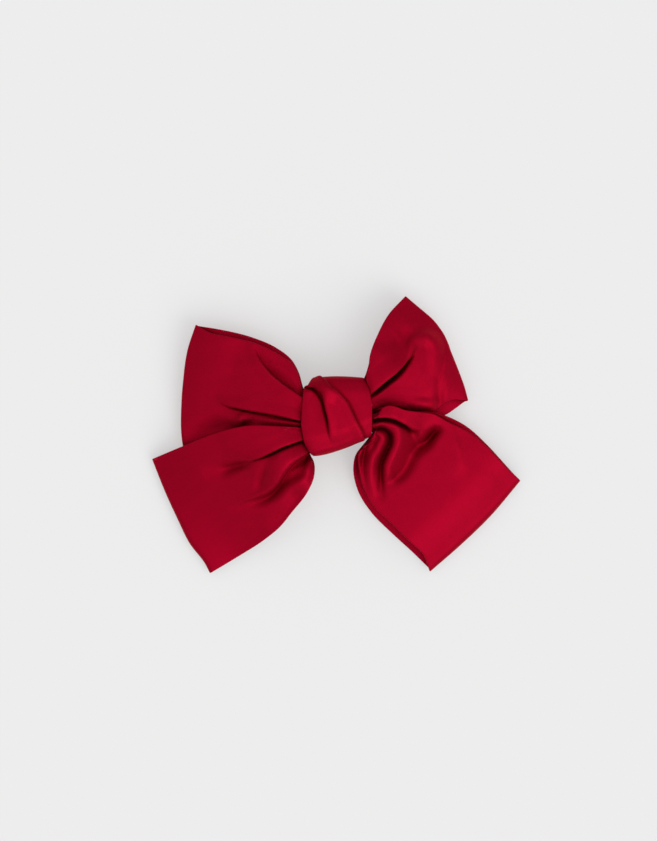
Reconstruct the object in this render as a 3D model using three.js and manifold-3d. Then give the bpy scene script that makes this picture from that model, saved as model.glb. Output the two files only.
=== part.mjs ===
// A satin hair bow on a French barrette, lying face up.
//
// Frame: millimetres, +Z up out of the bow's face, +X along the barrette towards its catch.
// The origin is under the middle of the bow, on the surface that it lies on.
import * as THREE from "three";
import { ParametricGeometry } from "three/addons/geometries/ParametricGeometry.js";
import { mergeVertices } from "three/addons/utils/BufferGeometryUtils.js";
import Module from "manifold-3d";

const wasm = await Module();
wasm.setup();

// ---------------------------------------------------------------- driving dimensions
const GAP = 0.3; // between pieces that touch
const CLOTH = 1.0; // thickness of the turned satin tube, pressed flat
const STRIP_WIDTH = 55; // of the two bow strips, cut size after turning
const AXIS_Y = 9; // the barrette and the knot lie along this line

const PLATE = { halfLength: 40, width: 8, thick: 0.7, radius: 130, top: 12.4 };
const ARM = { width: 5.2, thick: 0.8, radius: 800, tipX: 38.6, top: 2.3 };
const TONGUE = { width: 4.4, fromX: 30, length: 7 }; // the arm's narrow end, held by the catch
const HINGE = { x: -37.5, z: 2.0, pin: 0.7, hole: 0.8, eye: 1.6, ear: 2.0 };
const SPRING = { width: 5, thick: 0.4, radius: 300, rootX: -31, endX: 31, nestedTop: 9.3, preset: 1.5 };
const SPRING_TAB = { rivetX: -32.4, endX: -34.2 }; // the end of the spring that lies along the plate
const CATCH = { x: 35.2, length: 5, thick: 0.5, span: 8.6, bottom: 0.1, hook: 1.3 };
const PAD = { halfLength: 37, width: 12, thick: 0.9 };
const HOLE = { r: 0.7, spacing: 3.4, at: [-26, -20, 20, 26] }; // sewing holes in plate and pad
const STITCH = { radius: 0.25, slack: 0.13 }; // sewing thread, and its clearance at plate and pad
const RIVET = { shank: 0.6, head: 1.15, headHeight: 0.35, play: 0.15 };
const PIN_HEAD = { r: 1.15, height: 0.5, rim: 0.15 }; // the hinge pin's peened ends

const PLATE_UNDER = PLATE.top - PLATE.thick;
const PAD_TOP = PLATE.top + GAP + PAD.thick;

// ---------------------------------------------------------------- materials
const satin = new THREE.MeshStandardMaterial({ color: 0x9b0522, roughness: 0.45, metalness: 0 });
const felt = new THREE.MeshStandardMaterial({ color: 0x7d0a20, roughness: 0.95, metalness: 0 });
const thread = new THREE.MeshStandardMaterial({ color: 0x8c0820, roughness: 0.7, metalness: 0 });
const nickel = new THREE.MeshStandardMaterial({ color: 0xc9c7c2, roughness: 0.28, metalness: 1 });
const springSteel = new THREE.MeshStandardMaterial({ color: 0xb4b3b1, roughness: 0.35, metalness: 1 });

// ---------------------------------------------------------------- solids
function solidOf(geometry) {
  const bare = geometry.index ? geometry.toNonIndexed() : geometry.clone();
  bare.deleteAttribute("normal");
  bare.deleteAttribute("uv");
  const merged = mergeVertices(bare, 1e-4);
  const mesh = new wasm.Mesh({
    numProp: 3,
    vertProperties: merged.attributes.position.array,
    triVerts: new Uint32Array(merged.index.array),
  });
  return new wasm.Manifold(mesh);
}

function geometryOf(solid) {
  const { numProp, vertProperties, triVerts, numVert } = solid.getMesh();
  const position = new Float32Array(numVert * 3);
  for (let i = 0; i < numVert; i++) {
    position.set(vertProperties.subarray(i * numProp, i * numProp + 3), i * 3);
  }
  return new THREE.BufferGeometry()
    .setAttribute("position", new THREE.BufferAttribute(position, 3))
    .setIndex(new THREE.BufferAttribute(new Uint32Array(triVerts), 1));
}

// An outline in X and Z, extruded along Y and centred on y = 0.
function alongY(shape, width) {
  const settings = { depth: width, bevelEnabled: false, curveSegments: 16 };
  const geometry = new THREE.ExtrudeGeometry(shape, settings);
  return geometry.rotateX(Math.PI / 2).translate(0, width / 2, 0);
}

// An outline in X and Y, extruded up from z = low to z = high.
function alongZ(shape, low, high) {
  const settings = { depth: high - low, bevelEnabled: false, curveSegments: 10 };
  return new THREE.ExtrudeGeometry(shape, settings).translate(0, 0, low);
}

// Pins along Y and along Z, centred on the origin.
const pinY = (radius, length, sides = 24) => new THREE.CylinderGeometry(radius, radius, length, sides);
const pinZ = (radius, length, sides) => pinY(radius, length, sides).rotateX(Math.PI / 2);

// The height of an arch along X, of a given radius, whose top is at height `top` over x = 0.
const arch = (x, radius, top) => top - radius + Math.sqrt(radius * radius - x * x);

// The outline in X and Z of an arched strip, from x0 to x1.
function archShape(x0, x1, radius, top, thick, steps = 20) {
  const upper = [];
  const lower = [];
  for (let i = 0; i <= steps; i++) {
    const x = x0 + ((x1 - x0) * i) / steps;
    upper.push(new THREE.Vector2(x, arch(x, radius, top)));
    lower.push(new THREE.Vector2(x, arch(x, radius - thick, top - thick)));
  }
  return new THREE.Shape([...lower, ...upper.reverse()]);
}

// A plan outline with round ends, with its middle on the origin.
function stadium(halfLength, width) {
  const r = width / 2;
  const shape = new THREE.Shape();
  shape.moveTo(-halfLength + r, -r);
  shape.lineTo(halfLength - r, -r);
  shape.absarc(halfLength - r, 0, r, -Math.PI / 2, Math.PI / 2, false);
  shape.lineTo(-halfLength + r, r);
  shape.absarc(-halfLength + r, 0, r, Math.PI / 2, (3 * Math.PI) / 2, false);
  return shape;
}

// The sewing holes, as pins to cut with.
function sewingHoles() {
  const pins = [];
  for (const x of HOLE.at) {
    for (const side of [-1, 1]) {
      const pin = pinZ(HOLE.r, 40, 12).translate(x, (side * HOLE.spacing) / 2, 0);
      pins.push(solidOf(pin));
    }
  }
  return wasm.Manifold.union(pins);
}

// Places a local frame on the plate's underside at x, with its own Z square to the plate.
function onPlateUnderside(x) {
  const group = new THREE.Group();
  group.position.set(x, 0, arch(x, PLATE.radius - PLATE.thick, PLATE_UNDER));
  group.rotation.y = Math.asin(x / PLATE.radius);
  return group;
}

// The hole for a rivet at x, square to the plate and long enough to cut what it holds.
function rivetHole(x) {
  const frame = onPlateUnderside(x);
  frame.updateMatrix();
  return solidOf(pinZ(RIVET.shank + RIVET.play, 6, 20).applyMatrix4(frame.matrix));
}

// ---------------------------------------------------------------- barrette
function basePlate() {
  const profile = archShape(-PLATE.halfLength, PLATE.halfLength, PLATE.radius, PLATE.top, PLATE.thick, 32);
  const strip = solidOf(alongY(profile, PLATE.width + 2));
  const plan = solidOf(alongZ(stadium(PLATE.halfLength, PLATE.width), 0, 20));
  let plate = strip.intersect(plan).subtract(sewingHoles());
  for (const x of [SPRING_TAB.rivetX, CATCH.x]) {
    plate = plate.subtract(rivetHole(x));
  }
  for (const side of [-1, 1]) {
    plate = plate.add(ear().translate([0, (side * (PLATE.width - PLATE.thick)) / 2, 0]));
  }
  return geometryOf(plate);
}

// One of the two ears bent down from the plate's edges, which hold the hinge pin.
function ear() {
  const inPlate = (x) => arch(x, PLATE.radius, PLATE.top) - 0.1;
  const shape = new THREE.Shape();
  shape.moveTo(HINGE.x + HINGE.ear, HINGE.z);
  const [rootX0, rootX1] = [HINGE.x - 1, HINGE.x + HINGE.ear + 1.2];
  shape.lineTo(rootX1, inPlate(rootX1));
  shape.lineTo(rootX0, inPlate(rootX0));
  shape.lineTo(HINGE.x - HINGE.ear, HINGE.z);
  shape.absarc(HINGE.x, HINGE.z, HINGE.ear, Math.PI, 2 * Math.PI, false);
  const hole = new THREE.Path();
  hole.absarc(HINGE.x, HINGE.z, HINGE.hole, 0, 2 * Math.PI, true);
  shape.holes.push(hole);
  return solidOf(alongY(shape, PLATE.thick));
}

// The peened pin: a shank with a low head outside each ear.
function hingePin() {
  const seat = PLATE.width / 2 + 0.1;
  const { r, height, rim } = PIN_HEAD;
  const upperHalf = [
    [HINGE.pin, seat],
    [r, seat],
    [r, seat + rim],
    [r * 0.7, seat + height],
    [0, seat + height],
  ];
  const lowerHalf = upperHalf.map(([radius, y]) => [radius, -y]).reverse();
  const points = [...lowerHalf, ...upperHalf].map(([radius, y]) => new THREE.Vector2(radius, y));
  return new THREE.LatheGeometry(points, 24).translate(HINGE.x, 0, HINGE.z);
}

// The lower bar that swings open: an arched strip, an eye curled round the pin, and a
// narrow tongue that the catch holds.
function claspArm() {
  const bar = archShape(HINGE.x - HINGE.eye, ARM.tipX, ARM.radius, ARM.top, ARM.thick, 21);
  const strip = solidOf(alongY(bar, ARM.width)).intersect(solidOf(alongZ(armPlan(), -5, 10)));
  const curl = new THREE.Shape().absarc(HINGE.x, HINGE.z, HINGE.eye, 0, 2 * Math.PI, false);
  const eye = solidOf(alongY(curl, ARM.width));
  const bore = solidOf(pinY(HINGE.hole, 20).translate(HINGE.x, 0, HINGE.z));
  return geometryOf(strip.add(eye).subtract(bore).subtract(pressedRib()));
}

// The arm from above: square at the hinge, with a rounded narrow tongue.
function armPlan() {
  const [half, tongue] = [ARM.width / 2, TONGUE.width / 2];
  const shape = new THREE.Shape();
  shape.moveTo(HINGE.x - HINGE.eye * 0.7, -half);
  shape.lineTo(TONGUE.fromX, -half);
  shape.lineTo(ARM.tipX - TONGUE.length, -tongue);
  shape.lineTo(ARM.tipX - tongue, -tongue);
  shape.absarc(ARM.tipX - tongue, 0, tongue, -Math.PI / 2, Math.PI / 2, false);
  shape.lineTo(ARM.tipX - TONGUE.length, tongue);
  shape.lineTo(TONGUE.fromX, half);
  shape.lineTo(HINGE.x - HINGE.eye * 0.7, half);
  return shape;
}

// The shallow groove pressed along the top of the arm.
function pressedRib() {
  const [halfLength, depth, width] = [24, 0.25, 1.6];
  const groove = archShape(-halfLength, halfLength, ARM.radius, ARM.top + 1, 1 + depth, 12);
  return solidOf(alongY(groove, width));
}

// The leaf that presses hair on to the arm. Its tab is riveted along the plate, and from
// there it stands off the plate by its preset angle.
function tensionSpring() {
  const { rootX, endX, radius, nestedTop, thick, width, preset } = SPRING;
  const rootTop = arch(rootX, radius, nestedTop);
  const turn = THREE.MathUtils.degToRad(preset);
  const upper = [];
  const lower = [];
  const add = (x, z, slope) => {
    upper.push(new THREE.Vector2(x, z));
    lower.push(new THREE.Vector2(x + thick * Math.sin(slope), z - thick * Math.cos(slope)));
  };
  for (const x of [SPRING_TAB.endX, SPRING_TAB.rivetX, rootX - 0.2]) {
    add(x, arch(x, PLATE.radius - PLATE.thick, PLATE_UNDER) - GAP, Math.asin(-x / PLATE.radius));
  }
  const steps = 24;
  for (let i = 1; i <= steps; i++) {
    const x = rootX + ((endX - rootX) * i) / steps;
    const [dx, dz] = [x - rootX, arch(x, radius, nestedTop) - rootTop];
    const turnedX = rootX + dx * Math.cos(turn) + dz * Math.sin(turn);
    add(turnedX, rootTop - dx * Math.sin(turn) + dz * Math.cos(turn), Math.asin(-x / radius) - turn);
  }
  const strip = solidOf(alongY(new THREE.Shape([...lower, ...upper.reverse()]), width + 1));
  const plan = alongZ(stadium((endX - SPRING_TAB.endX) / 2, width), 0, 20);
  plan.translate((endX + SPRING_TAB.endX) / 2, 0, 0);
  return geometryOf(strip.intersect(solidOf(plan)).subtract(rivetHole(SPRING_TAB.rivetX)));
}

// A rivet along local Z, through the plate and a part of thickness `held` under it.
function rivet(held) {
  const top = PLATE.thick + RIVET.play;
  const bottom = -GAP - held - RIVET.play;
  const { shank, head, headHeight } = RIVET;
  const profile = [
    [0, bottom - headHeight],
    [head * 0.75, bottom - headHeight],
    [head, bottom],
    [shank, bottom],
    [shank, top],
    [head, top],
    [head * 0.75, top + headHeight],
    [0, top + headHeight],
  ];
  const points = profile.map(([r, z]) => new THREE.Vector2(r, z));
  return new THREE.LatheGeometry(points, 20).rotateX(Math.PI / 2);
}

// The riveted web of the catch, in the local frame of onPlateUnderside.
function catchWeb() {
  const { length, span, thick } = CATCH;
  const web = new THREE.BoxGeometry(length, span - 1.6, thick).translate(0, 0, -GAP - thick / 2);
  return geometryOf(solidOf(web).subtract(solidOf(pinZ(RIVET.shank + RIVET.play, 6, 20))));
}

// One spring cheek of the catch, on the +Y side, and the hook along its lower edge, which
// snaps under the arm's tongue.
function catchCheek() {
  const { x, length, span, thick, bottom, hook } = CATCH;
  const top = (at) => arch(at, PLATE.radius - PLATE.thick, PLATE_UNDER) - GAP;
  const [inner, x0, x1] = [span / 2 - thick, x - length / 2, x + length / 2];
  const taper = 0.5;
  const side = [[x0 + taper, bottom], [x1 - taper, bottom], [x1, top(x1)], [x0, top(x0)]];
  const outline = new THREE.Shape(side.map((at) => new THREE.Vector2(...at)));
  const plate = solidOf(alongY(outline, thick).translate(0, inner + thick / 2, 0));
  // The hook's section is in (Y, Z).
  const wedge = [[inner + 0.1, bottom], [inner + 0.1, 0.9], [inner - hook, 0.35], [inner - hook, bottom]];
  const section = new THREE.Shape(wedge.map((at) => new THREE.Vector2(...at)));
  const hookLength = length - 2 * taper;
  const lip = new THREE.ExtrudeGeometry(section, { depth: hookLength, bevelEnabled: false });
  const turned = lip.rotateX(Math.PI / 2).rotateZ(Math.PI / 2).translate(x - hookLength / 2, 0, 0);
  return geometryOf(plate.add(solidOf(turned)));
}

// A closed loop of thread down one sewing hole, under the plate, and up the other.
function stitch(x) {
  const low = arch(x, PLATE.radius - PLATE.thick, PLATE_UNDER) - STITCH.slack - STITCH.radius;
  const high = arch(x, PLATE.radius + PAD.thick + GAP, PAD_TOP) + STITCH.slack + STITCH.radius;
  const half = HOLE.spacing / 2;
  const corner = 0.35;
  const route = roundedRing(new THREE.Vector2(-half, low), new THREE.Vector2(half, high), corner, corner);
  return threadRing(route, x, STITCH.radius);
}

// ---------------------------------------------------------------- closed rings
// A surface that closes on itself both ways: round the ring with s, round the section with t.
function closedSurface(at, steps, sides) {
  const geometry = new ParametricGeometry((s, t, p) => p.copy(at(s % 1, t % 1)), steps, sides);
  const surface = geometry.toNonIndexed();
  if (solidOf(surface).volume() < 0) {
    surface.attributes.position.array.reverse();
    // Reversing the whole array also swaps x and z in each vertex, so they are put back.
    const { array } = surface.attributes.position;
    for (let i = 0; i < array.length; i += 3) {
      [array[i], array[i + 2]] = [array[i + 2], array[i]];
    }
  }
  return geometryOf(solidOf(surface));
}

// A round thread that follows a closed path in (y, z) at one x.
function threadRing(path, x, radius) {
  const [steps, sides] = [32, 8];
  return closedSurface(
    (s, t) => {
      const centre = path.getPointAt(s);
      const along = path.getTangentAt(s);
      const angle = 2 * Math.PI * t;
      const out = radius * Math.sin(angle);
      return new THREE.Vector3(x + radius * Math.cos(angle), centre.x + along.y * out, centre.y - along.x * out);
    },
    steps,
    sides,
  );
}

// A band that goes round the bow's waist. `outline(w)` is its inner path in (y, z), at a
// position w from -1 to 1 across the band.
function band(halfWidth, thick, outline, steps, spans) {
  const sides = 2 * (spans + 1);
  const paths = Array.from({ length: spans + 1 }, (_, i) => outline(-1 + (2 * i) / spans));
  return closedSurface(
    (s, t) => {
      const k = Math.round(t * sides) % sides;
      const outer = k <= spans;
      const i = outer ? k : 2 * spans + 1 - k;
      const here = paths[i].getPointAt(s);
      const along = paths[i].getTangentAt(s);
      const shift = outer ? thick : 0;
      const x = (-1 + (2 * i) / spans) * halfWidth;
      return new THREE.Vector3(x, here.x + along.y * shift, here.y - along.x * shift);
    },
    steps,
    sides,
  );
}

// A rounded rectangle in (y, z), anticlockwise from the middle of its lower side.
function roundedRing(low, high, lowRadius, highRadius) {
  const turn = Math.PI / 2;
  const path = new THREE.Path().moveTo((low.x + high.x) / 2, low.y);
  path.absarc(high.x - lowRadius, low.y + lowRadius, lowRadius, -turn, 0, false);
  path.absarc(high.x - highRadius, high.y - highRadius, highRadius, 0, turn, false);
  path.absarc(low.x + highRadius, high.y - highRadius, highRadius, turn, 2 * turn, false);
  path.absarc(low.x + lowRadius, low.y + lowRadius, lowRadius, 2 * turn, 3 * turn, false);
  path.closePath();
  return path;
}

// ---------------------------------------------------------------- fabric
// Each lobe of a bow strip is given at four stations, from the waist to the outer fold:
// the plan of its upper and lower side edges, and the heights of its front and back layers
// at each of those edges. `open` moves the back layer's edges sideways, where it shows.
const WAIST_X = 15.4;
const LOBES = {
  upperLeft: {
    upper: [[-WAIST_X, 19.4], [-20, 31], [-36, 40], [-60.2, 46.4]],
    lower: [[-WAIST_X, 4.8], [-28, 5.2], [-48, 0.6], [-65.4, -6.6]],
    front: [[22, 23.5, 18, 8.5], [22, 14.6, 9.6, 5]],
    back: [[16.6, 14, 9.6, 6.5], [16.6, 12.7, 6.4, 3.4]],
    bulge: 3.6,
    open: [2.6, 0],
  },
  upperRight: {
    upper: [[WAIST_X, 21.6], [16.8, 38], [22, 50], [30.4, 58.9]],
    lower: [[WAIST_X, 10.8], [25, 14.2], [41, 13.4], [55.8, 16.2]],
    front: [[22, 24.5, 22, 12.5], [22, 16.4, 11.6, 8.6]],
    back: [[16.6, 14.5, 12, 10.5], [16.6, 13.6, 8.9, 6.6]],
    bulge: 4.6,
    open: [0, 3],
  },
  lowerLeft: {
    upper: [[-WAIST_X, 3.2], [-29, 3.8], [-50, 1.2], [-79.3, -10.7]],
    lower: [[-WAIST_X, -4.8], [-16.4, -17], [-27, -41], [-54.9, -58.9]],
    front: [[22, 22.6, 19, 3.4], [22, 20.5, 13, 3]],
    back: [[16.6, 17.2, 13.6, 1.2], [16.6, 10.5, 3.6, 0.9]],
    bulge: 1.2,
    open: [0, 0],
  },
  lowerRight: {
    upper: [[WAIST_X, 9.2], [25, 12.2], [50, 6.4], [79.1, -20]],
    lower: [[WAIST_X, 3], [15.6, -16], [24, -37.5], [41.6, -57.6]],
    front: [[22, 23, 17.5, 3.4], [22, 21, 14, 3.2]],
    back: [[16.6, 18.2, 12.6, 1.2], [16.6, 10.5, 3.6, 0.9]],
    bulge: 1.4,
    open: [0, 3],
  },
};

// The edge points of one layer of a lobe, from the waist out: [upper edge, lower edge] pairs.
function layer(lobe, heights, open) {
  return lobe.upper.map(([ux, uy], i) => {
    const [lx, ly] = lobe.lower[i];
    const across = new THREE.Vector2(ux - lx, uy - ly).normalize();
    const [up, down] = i === 2 ? open : [0, 0];
    return [
      new THREE.Vector3(ux + across.x * up, uy + across.y * up, heights[0][i]),
      new THREE.Vector3(lx - across.x * down, ly - across.y * down, heights[1][i]),
    ];
  });
}

// The middle of the waist, halfway between the two lobes' own waists.
const middle = (a, b) => a.map((p, k) => p.clone().lerp(b[k], 0.5));

// The outermost station of a lobe: the fold itself, beyond the ends of both layers.
function fold(lobe, front, back) {
  const out = new THREE.Vector3(...lobe.upper[3], 0)
    .add(new THREE.Vector3(...lobe.lower[3], 0))
    .sub(new THREE.Vector3(...lobe.upper[0], 0))
    .sub(new THREE.Vector3(...lobe.lower[0], 0))
    .setZ(0)
    .normalize();
  return front[3].map((p, k) => {
    const q = back[3][k];
    return p.clone().add(q).multiplyScalar(0.5).addScaledVector(out, (p.z - q.z) / 2);
  });
}

// The closed row of stations of a strip: out over the left lobe, back under it, and so on.
function stations(left, right) {
  const [l, r] = [left, right].map((lobe) => {
    const front = layer(lobe, lobe.front, [0, 0]);
    const back = layer(lobe, lobe.back, lobe.open);
    return { front, back, tip: fold(lobe, front, back) };
  });
  const over = [...l.front.toReversed(), middle(l.front[0], r.front[0]), ...r.front, r.tip];
  const under = [...r.back.toReversed(), middle(r.back[0], l.back[0]), ...l.back, l.tip];
  return [...over, ...under];
}

// A strip of doubled satin sewn into a ring, drawn in at its waist to make two loops.
// It thickens where it is gathered, so that it keeps its cloth.
function bowStrip(left, right) {
  const row = stations(left, right);
  const edges = [0, 1].map((k) => new THREE.CatmullRomCurve3(row.map((pair) => pair[k]), true));
  const midX = (s) => (edges[0].getPoint(s).x + edges[1].getPoint(s).x) / 2;
  const surface = (s, u) => {
    const a = edges[0].getPoint(s);
    const b = edges[1].getPoint(s);
    const p = a.clone().lerp(b, u);
    const lobe = p.x < 0 ? left : right;
    const reach = THREE.MathUtils.smoothstep(Math.abs(midX(s)), 30, 60);
    const out = new THREE.Vector3(b.y - a.y, a.x - b.x, 0).normalize();
    if (out.x * p.x < 0) {
      out.negate();
    }
    return p.addScaledVector(out, lobe.bulge * 4 * u * (1 - u) * reach);
  };
  const widthAt = (s) => edges[0].getPoint(s).distanceTo(edges[1].getPoint(s));
  const steps = row.length * 4;
  const spans = 5;
  const sides = 2 * (spans + 1);
  return closedSurface(
    (s, t) => {
      const k = Math.round(t * sides) % sides;
      const outer = k <= spans;
      const u = outer ? k / spans : 1 - (k - spans - 1) / spans;
      const e = 0.004;
      const alongS = surface((s + e) % 1, u).sub(surface((s + 1 - e) % 1, u));
      const alongU = surface(s, Math.min(u + 0.1, 1)).sub(surface(s, Math.max(u - 0.1, 0)));
      const normal = alongU.cross(alongS).normalize();
      const thick = CLOTH * Math.min(STRIP_WIDTH / widthAt(s), 3.4);
      return surface(s, u).addScaledVector(normal, (outer ? 0.5 : -0.5) * Math.max(thick, CLOTH));
    },
    steps,
    sides,
  );
}

// The knot: a folded band round the waist of both strips, the pad and the base plate.
const KNOT = {
  halfWidth: 14.9,
  thick: 1.1,
  low: new THREE.Vector2(-3.8, PLATE_UNDER - 0.35),
  high: new THREE.Vector2(24.5, 26.2),
  slant: 4.1, // how far the band's lower side rises towards +X, over half its width
  crown: 0.88, // how far its edges follow the arch of the plate
};
function knotWrap() {
  const outline = (w) => {
    const drop = -KNOT.crown * w * w;
    const low = KNOT.low.clone().add(new THREE.Vector2(KNOT.slant * w, drop));
    const high = KNOT.high.clone().add(new THREE.Vector2(-0.6 * w * w, drop));
    return roundedRing(low, high, 2.4, 5);
  };
  return band(KNOT.halfWidth, KNOT.thick, outline, 60, 4);
}

// The gathering thread, wound round both waists inside the knot.
function waistBinding() {
  const outline = (w) => {
    const low = new THREE.Vector2(-2.5 + 0.7 * w, PAD_TOP + 0.9);
    return roundedRing(low, new THREE.Vector2(22, 24.4), 1.6, 2.4);
  };
  return band(3, 0.6, outline, 48, 2);
}

// The felt strip between the plate and the bow.
function backingPad() {
  const radius = PLATE.radius + GAP + PAD.thick;
  const profile = archShape(-PAD.halfLength, PAD.halfLength, radius, PAD_TOP, PAD.thick, 28);
  const strip = solidOf(alongY(profile, PAD.width + 2));
  const plan = solidOf(alongZ(stadium(PAD.halfLength, PAD.width), 0, 20));
  let pad = strip.intersect(plan).subtract(sewingHoles());
  for (const x of [SPRING_TAB.rivetX, CATCH.x]) {
    pad = pad.subtract(solidOf(pinZ(RIVET.head + 0.4, 40).translate(x, 0, 0)));
  }
  return geometryOf(pad);
}

// ---------------------------------------------------------------- assembly
const bow = new THREE.Group();
const barrette = new THREE.Group();
barrette.position.y = AXIS_Y;
bow.add(barrette);

function place(parent, name, geometry, material) {
  const mesh = new THREE.Mesh(geometry, material);
  mesh.name = name;
  parent.add(mesh);
  return mesh;
}

place(barrette, "base_plate", basePlate(), nickel);
place(barrette, "hinge_pin", hingePin(), nickel);
place(barrette, "clasp_arm", claspArm(), nickel);
place(barrette, "tension_spring", tensionSpring(), springSteel);
place(barrette, "backing_pad", backingPad(), felt);

const springRoot = onPlateUnderside(SPRING_TAB.rivetX);
const catchFrame = onPlateUnderside(CATCH.x);
barrette.add(springRoot, catchFrame);
place(springRoot, "tension_spring_rivet", rivet(SPRING.thick), nickel);
place(catchFrame, "catch_rivet", rivet(CATCH.thick), nickel);
place(catchFrame, "catch_web", catchWeb(), springSteel);
place(barrette, "catch_cheek_rear", catchCheek(), springSteel);
place(barrette, "catch_cheek_front", catchCheek(), springSteel).scale.y = -1;

HOLE.at.forEach((x, i) => place(barrette, `anchor_stitch_${i + 1}`, stitch(x), thread));

place(bow, "upper_bow_strip", bowStrip(LOBES.upperLeft, LOBES.upperRight), satin);
place(bow, "lower_bow_strip", bowStrip(LOBES.lowerLeft, LOBES.lowerRight), satin);
place(bow, "waist_binding", waistBinding(), thread);
place(bow, "knot_wrap", knotWrap(), satin);

export default bow;
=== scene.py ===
"""The looks of a satin hair bow on a French barrette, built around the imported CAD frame.

Lengths in this script are in millimetres until a mesh is made; +Z is out of the bow's face.
"""

import math

import bmesh
import bpy
import numpy as np
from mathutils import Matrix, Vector, noise


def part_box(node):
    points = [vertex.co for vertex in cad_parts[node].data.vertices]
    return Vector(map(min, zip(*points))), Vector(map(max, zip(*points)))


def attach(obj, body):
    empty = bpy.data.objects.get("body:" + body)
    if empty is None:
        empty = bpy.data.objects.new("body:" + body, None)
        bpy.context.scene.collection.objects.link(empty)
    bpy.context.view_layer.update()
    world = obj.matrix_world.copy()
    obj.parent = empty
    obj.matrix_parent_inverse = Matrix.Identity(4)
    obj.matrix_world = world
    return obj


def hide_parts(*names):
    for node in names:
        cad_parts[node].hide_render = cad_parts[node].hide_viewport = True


MM = 0.001

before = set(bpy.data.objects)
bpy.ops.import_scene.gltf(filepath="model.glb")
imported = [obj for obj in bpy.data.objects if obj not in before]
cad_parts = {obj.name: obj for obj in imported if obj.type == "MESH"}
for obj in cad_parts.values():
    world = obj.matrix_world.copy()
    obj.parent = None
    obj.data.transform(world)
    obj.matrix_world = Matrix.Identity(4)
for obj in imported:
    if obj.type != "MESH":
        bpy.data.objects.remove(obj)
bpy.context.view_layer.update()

# ---------------------------------------------------------------- driving sizes, in mm
CLOTH = 0.85           # the turned satin tube, pressed flat
STRIP_WIDTH = 55.0     # both bow strips, after turning
KNOT_WIDTH = 35.0
COLUMNS = 96           # grid cells across a strip
FRONT_ROWS = 76        # grid rows of a lobe's front layer
BACK_ROWS = 40
BEND_ROWS = 5          # round a pressed fold
WAIST_ROWS = 26        # hidden inside the knot
GATHERS = 7            # waves of cloth across a strip's gathered waist
GATHER_HEIGHT = 1.75
WAIST_FRONT_Z, WAIST_BACK_Z = 21.8, 16.9
UPPER_WAIST_Y, LOWER_WAIST_Y = (10.1, 20.3), (-0.9, 9.1)


# ---------------------------------------------------------------- curves and profiles
def smooth(x):
    x = np.clip(x, 0.0, 1.0)
    return x * x * (3 - 2 * x)


def lerp(a, b, t):
    return a + (b - a) * t


def spline(points, at):
    """Points at the fractions `at` of a smooth curve through `points`, by plan length."""
    points = np.asarray(points, float)
    chord = np.linalg.norm(np.diff(points[:, :2], axis=0), axis=1)
    knots = np.concatenate([[0.0], np.cumsum(chord)])
    slopes = np.gradient(points, knots, axis=0)
    where = np.clip(np.asarray(at, float), 0, 1) * knots[-1]
    i = np.clip(np.searchsorted(knots, where, side="right") - 1, 0, len(knots) - 2)
    span = (knots[i + 1] - knots[i])[:, None]
    h = ((where - knots[i]) / span[:, 0])[:, None]
    a, b = points[i], points[i + 1]
    ma, mb = slopes[i] * span, slopes[i + 1] * span
    return (
        (2 * h**3 - 3 * h**2 + 1) * a
        + (h**3 - 2 * h**2 + h) * ma
        + (3 * h**2 - 2 * h**3) * b
        + (h**3 - h**2) * mb
    )


def bump(q):
    """A rounded ridge: 1 at q = 0, and 0 from |q| = 1 on."""
    return 0.5 * (1 + np.cos(np.pi * np.clip(q, -1, 1)))


# ---------------------------------------------------------------- creases
# A crease is the line of a ridge or valley in plan, from the knot outwards, with rows of
#     (x, y, height, width, lean, step, trough); the last three are 0 if left out.
# Its ridge is `height` high and reaches `width` to each side. `lean` tips the ridge over
# the side that lies under, which makes an overlapping pleat where it is more than `width`.
# `step` raises the side that lies over and `trough` sinks the side that lies under, from
# the ridge to `reach` beyond it. `over` is "left" or "right" of the line.
def crease(surface, rows, over="left", reach=4.0):
    rows = np.array([tuple(row) + (0,) * (7 - len(row)) for row in rows], float)
    line = spline(rows, np.linspace(0, 1, 140))
    plan = line[:, :2]
    along = np.gradient(plan, axis=0)
    along /= np.linalg.norm(along, axis=1)[:, None]
    normals = np.stack([-along[:, 1], along[:, 0]], axis=1)
    sign = 1.0 if over == "left" else -1.0
    # The ridge leans on to its line from a root on the side that lies over.
    plan = plan + sign * normals * line[:, 4:5]
    flat = surface[..., :2].reshape(-1, 2)
    away = flat[:, None, :] - plan[None, :, :]
    near = np.argmin((away**2).sum(2), axis=1)
    offset = away[np.arange(len(flat)), near]
    normal = normals[near]
    side = sign * (offset * normal).sum(1)
    # Past the ends of the line the ridge dies away over one width.
    past = np.abs((offset * along[near]).sum(1))
    height, width, lean, step, trough = (line[near, k] for k in range(2, 7))
    width = np.maximum(width, 0.3)
    fade = bump(np.clip(past / width - 0.3, 0, 1))
    ridge = bump(side / width)
    raised = smooth(0.5 + 0.5 * side / width) * np.exp(-((side / (5 * width)) ** 2))
    sunk = bump((side + lean + 0.3 * reach) / reach) * (1 - ridge * (side > 0))
    moved = np.zeros((len(flat), 3))
    moved[:, :2] = -sign * normal * (lean * ridge * fade)[:, None]
    moved[:, 2] = (height * ridge + step * raised - trough * sunk) * fade
    return moved.reshape(surface.shape)


def creased(surface, creases):
    return surface + sum(crease(surface, **one) for one in creases)


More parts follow.
